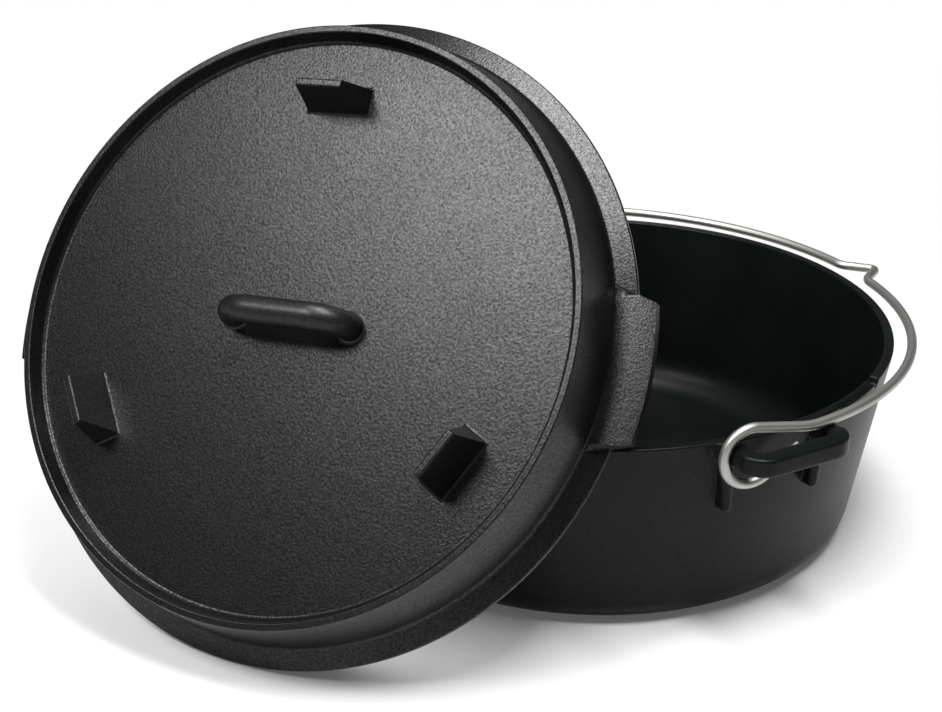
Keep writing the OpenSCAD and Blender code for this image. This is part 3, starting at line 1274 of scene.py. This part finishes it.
@dataclass
class Bail:
    """The bent wire.

    Its own frame has the hinge along Y, the V bend towards +X and the eyes' middles at Z = 0.
    """

    ATTRIBUTE = "wire_coord"

    height: float = 96.1
    turn: float = -6.647
    wire: float = 4.8
    eye_y: float = 160.68
    eye_r: float = 13.8
    end_x: float = 24.5
    end_z: float = 1.8
    neck_x: float = 30.0
    neck_z: float = 9.02
    bow_r: float = 163.46
    droop: float = 1.3
    bend_l: float = 6.0
    hook_w: float = 24.0
    hook_out: float = 14.5
    hook_bend_l: float = 4.5
    end_round: float = 0.5
    eye_steps: int = 56
    bow_steps: int = 110
    bend_steps: int = 10
    sides: int = 24

    def tangent(self, x: float, z: float, side: int) -> float:
        """Angle on the eye at which a line to a point leaves it."""
        return math.atan2(z, x) + side * math.acos(self.eye_r / math.hypot(x, z))

    def drooped(self, x: float, y: float) -> Vector:
        """Lowers a point of the bow, which droops from the necks to the V bend.

        Args:
            x: Distance of the point from the hinge.
            y: Its place along the hinge.

        Returns:
            The point.
        """
        out = x - self.neck_x
        lean = math.radians(self.droop)
        return Vector((self.neck_x + out * math.cos(lean), y, self.neck_z - out * math.sin(lean)))

    def on_bow(self, angle: float) -> Vector:
        """A point of the bow at an angle from +X."""
        return self.drooped(self.bow_r * math.cos(angle), self.bow_r * math.sin(angle))

    def path(self) -> list[Vector]:
        """Draws the wire's middle line.

        Returns:
            Its points from end to end.
        """
        low = self.tangent(self.end_x, self.end_z, -1)
        high = self.tangent(self.neck_x, self.neck_z, 1) - 2 * math.pi
        middle = Vector((0, -self.eye_y, 0))
        out = Vector((self.eye_r, 0, 0))
        up = Vector((0, 0, self.eye_r))
        neck = Vector((self.neck_x, -self.eye_y, self.neck_z))
        start = math.asin(self.bend_l / self.bow_r) - math.acos(self.neck_x / self.bow_r)
        hook = -math.asin(self.hook_w / 2 / self.bow_r)
        stop = hook - 2 * math.asin(self.hook_bend_l / self.bow_r)
        foot = self.on_bow(hook)
        tip = self.drooped(self.bow_r + self.hook_out, 0)
        tail = Vector((self.end_x, -self.eye_y, self.end_z))
        half = [tail]
        half += arc_points(middle, out, up, low, high, self.eye_steps)
        half += soften(half[-1], neck, self.on_bow(start), self.bend_l, self.bend_steps)
        turns = [start + (stop - start) * i / self.bow_steps for i in range(1, self.bow_steps + 1)]
        half += [self.on_bow(t) for t in turns]
        half += soften(half[-1], foot, tip, self.hook_bend_l, self.bend_steps)
        other = [Vector((p.x, -p.y, p.z)) for p in reversed(half)]
        return half + soften(foot, tip, other[0], self.hook_bend_l, self.bend_steps) + other

    def build(self, finish: bpy.types.Material) -> None:
        """Makes the wire and notes on each vertex where it lies round and along it.

        Args:
            finish: Its material.
        """
        path = self.path()
        into = (path[1] - path[0]).normalized() * self.end_round
        out = (path[-2] - path[-1]).normalized() * self.end_round
        path = [path[0], path[0] + into, *path[1:-1], path[-1] + out, path[-1]]
        radius = self.wire / 2
        widths = [radius - self.end_round, *[radius] * (len(path) - 2), radius - self.end_round]
        straight = frames_along(path, Vector((0, 1, 0)))
        frames = [turn @ Matrix.Scale(width, 4) for turn, width in zip(straight, widths)]
        bm = bmesh.new()
        bmesh.ops.create_circle(bm, segments=self.sides, radius=1, matrix=frames[0])
        sweep(bm, list(bm.edges), frames)
        coord = bm.verts.layers.float_vector.new(self.ATTRIBUTE)
        run = 0.0
        bm.verts.ensure_lookup_table()
        for i, turn in enumerate(straight):
            run += (path[i] - path[i - 1]).length if i else 0.0
            back = turn.inverted()
            for v in bm.verts[i * self.sides : (i + 1) * self.sides]:
                local = back @ v.co
                v[coord] = Vector((local.x / radius, local.y / radius, run))
        place = Matrix.Translation((0, 0, self.height)) @ turned(self.turn)
        seat("bail_wire", bm, place, finish, Body.BAIL, ("bail",))


@dataclass(frozen=True)
class SoftLamp:
    """A rectangular softbox that faces a point."""

    name: str
    at: tuple[float, float, float]
    to: tuple[float, float, float]
    width: float
    depth: float
    watts: float

    def build(self) -> None:
        """Hangs the lamp."""
        light = bpy.data.lights.new(self.name, "AREA")
        light.shape = "RECTANGLE"
        light.size = self.width * MM
        light.size_y = self.depth * MM
        light.energy = self.watts
        lamp = bpy.data.objects.new(self.name, light)
        bpy.context.scene.collection.objects.link(lamp)
        lamp.location = Vector(self.at) * MM
        lamp.rotation_euler = (Vector(self.to) - Vector(self.at)).to_track_quat("-Z", "Y").to_euler()


@dataclass
class Studio:
    """Pale floor, soft lamps, white backdrop and the camera."""

    camera_at: tuple[float, float, float] = (-443.99, -670.58, 435.18)
    camera_to: tuple[float, float, float] = (-41.16, 56.15, 65.54)
    lens: float = 63.2
    sensor: float = 36.0
    paper_r: float = 3000.0
    paper_bend: float = 600.0
    paper_h: float = 900.0
    paper_drop: float = 0.3
    paper_steps: int = 96
    paper_edge: float = 400.0
    paper_colour: str = "#f4f4f4"
    white_near: float = 0.7
    white_from: float = 180.0
    white_to: float = 480.0
    grey_from: float = 1500.0
    grey_to: float = 2500.0
    grey: float = 0.2
    shade_reach: float = 60.0
    shade_low: float = 0.45
    shade_least: float = 0.1
    shade_samples: int = 8
    world_level: float = 0.05
    lamps: tuple[SoftLamp, ...] = (
        SoftLamp("key", (-1100.0, -70.0, 1330.0), (-90.0, -10.0, 180.0), 480.0, 480.0, 18.5),
        SoftLamp("strip", (-60.0, -270.0, 1560.0), (-80.0, -270.0, 180.0), 1200.0, 240.0, 34.0),
    )

    def floor_material(self) -> bpy.types.Material:
        """Pale paper that takes its own lit shadow near the object, deepened by painted contact shade,
        and turns to white further off.

        Returns:
            The material.
        """
        material, tree = new_tree("pale_paper")
        spot = add_node(tree, "ShaderNodeTexCoord").outputs["Object"]
        far = add_node(tree, "ShaderNodeVectorMath", {0: spot}, operation="LENGTH").outputs["Value"]
        bands = (
            (self.white_from, self.white_to, self.white_near, 1.0),
            (self.grey_from, self.grey_to, 1.0, self.grey),
        )
        share, fade = (
            add_node(
                tree,
                "ShaderNodeMapRange",
                {
                    "Value": far,
                    "From Min": start * MM,
                    "From Max": end * MM,
                    "To Min": near_level,
                    "To Max": far_level,
                },
                interpolation_type="SMOOTHSTEP",
            ).outputs["Result"]
            for start, end, near_level, far_level in bands
        )
        # Painted contact shade: the white glow is dimmed where ambient occlusion finds the object close,
        # on top of the paper's own lit shadow.
        contact_occlusion = add_node(
            tree,
            "ShaderNodeAmbientOcclusion",
            {"Distance": self.shade_reach * MM},
            samples=self.shade_samples,
        )
        clear = add_node(
            tree,
            "ShaderNodeMapRange",
            {
                "Value": contact_occlusion.outputs["AO"],
                "From Min": self.shade_low,
                "From Max": 1.0,
                "To Min": self.shade_least,
                "To Max": 1.0,
            },
        ).outputs["Result"]
        ray = add_node(tree, "ShaderNodeLightPath").outputs
        seen = ray["Is Camera Ray"]
        for kind in ("Is Glossy Ray", "Is Transmission Ray"):
            either = add_node(tree, "ShaderNodeMath", {0: seen, 1: ray[kind]}, operation="MAXIMUM")
            seen = either.outputs["Value"]
        amount = share
        for factor in (clear, seen):
            product = add_node(tree, "ShaderNodeMath", {0: amount, 1: factor}, operation="MULTIPLY")
            amount = product.outputs["Value"]
        sockets = {"Color": linear(self.paper_colour), "Roughness": 1.0}
        paper = add_node(tree, "ShaderNodeBsdfDiffuse", sockets).outputs["BSDF"]
        sockets = {"Color": linear(WHITE), "Strength": fade}
        white = add_node(tree, "ShaderNodeEmission", sockets).outputs["Emission"]
        mix = add_node(tree, "ShaderNodeMixShader", {0: amount, 1: paper, 2: white})
        add_node(tree, "ShaderNodeOutputMaterial", {"Surface": mix.outputs["Shader"]})
        return material

    def build_paper(self) -> None:
        """Lays a round sheet of paper just under the pot, which bends up into a backdrop all round."""
        outline = [
            Corner(0, -self.paper_drop),
            Corner(self.paper_r, -self.paper_drop, self.paper_bend),
            Corner(self.paper_r, self.paper_h),
        ]
        bm = lathe(outline, [(FULL_TURN, self.paper_steps)], longest=lambda _: self.paper_edge)
        bmesh.ops.scale(bm, vec=(MM, MM, MM), verts=bm.verts)
        paper = new_object("paper", bm)
        paper.data.shade_smooth()
        paper.data.materials.append(self.floor_material())

    def build_world(self) -> None:
        """A dim even fill from the room."""
        world = bpy.data.worlds.new("studio")
        bpy.context.scene.world = world
        world.use_nodes = True
        tree = world.node_tree
        tree.nodes.clear()
        sockets = {"Color": linear(WHITE), "Strength": self.world_level}
        back = add_node(tree, "ShaderNodeBackground", sockets)
        add_node(tree, "ShaderNodeOutputWorld", {"Surface": back.outputs["Background"]})

    def build_camera(self) -> None:
        """Sets the camera at the photograph's viewing angle."""
        data = bpy.data.cameras.new("camera")
        data.sensor_width = self.sensor
        data.lens = self.lens
        camera = bpy.data.objects.new("camera", data)
        bpy.context.scene.collection.objects.link(camera)
        look = Vector(self.camera_to) - Vector(self.camera_at)
        camera.location = Vector(self.camera_at) * MM
        camera.rotation_euler = look.to_track_quat("-Z", "Y").to_euler()
        bpy.context.scene.camera = camera

    def build(self) -> None:
        """Builds the whole studio."""
        self.build_paper()
        self.build_world()
        for lamp in self.lamps:
            lamp.build()
        self.build_camera()
        bpy.context.scene.view_settings.view_transform = "Standard"


def main() -> None:
    logging.basicConfig(level=logging.INFO, format="%(message)s")
    Studio().build()
    # The grain is drawn coarser than moulding sand, so that it shows at the picture's size.
    pot_iron = SeasonedIron(
        name="seasoned_cast_iron_pot",
        film="#0a0c0c",
        thin_film="#101313",
        roughness=0.36,
        grain_mm=1.1,
        grain_depth_mm=0.03,
        specular=0.14,
        grain_gloss=0.2,
    ).build()
    lid_finish = SeasonedIron(
        name="seasoned_cast_iron_lid",
        film="#0a0b0b",
        thin_film="#111212",
        roughness=0.31,
        grain_mm=1.15,
        grain_depth_mm=0.15,
        specular=0.31,
        grain_gloss=0.5,
    )
    handle_finish = replace(
        lid_finish,
        name="seasoned_cast_iron_handle",
        roughness=0.43,
        grain_depth_mm=0.06,
        specular=0.42,
        grain_gloss=0.3,
    )
    lid_iron = lid_finish.build()
    steel = DrawnStainless().build()
    pot = Pot()
    pot.build(pot_iron)
    ear = Ear(pot)
    ear.build("front_ear", -90, pot_iron)
    ear.build("rear_ear", 90, pot_iron)
    lid = Lid()
    lid.build(lid_iron)
    tab = LiftTab(lid)
    tab.build("lid_tab_right", 0, lid_iron)
    tab.build("lid_tab_left", 180, lid_iron)
    LidHandle(lid).build(handle_finish.build())
    foot = LidFoot(lid)
    for number, bearing in enumerate((90, 210, 330), start=1):
        foot.build(f"lid_foot_{number}", bearing, lid_iron)
    Bail().build(steel)


if __name__ == "__main__":
    main()
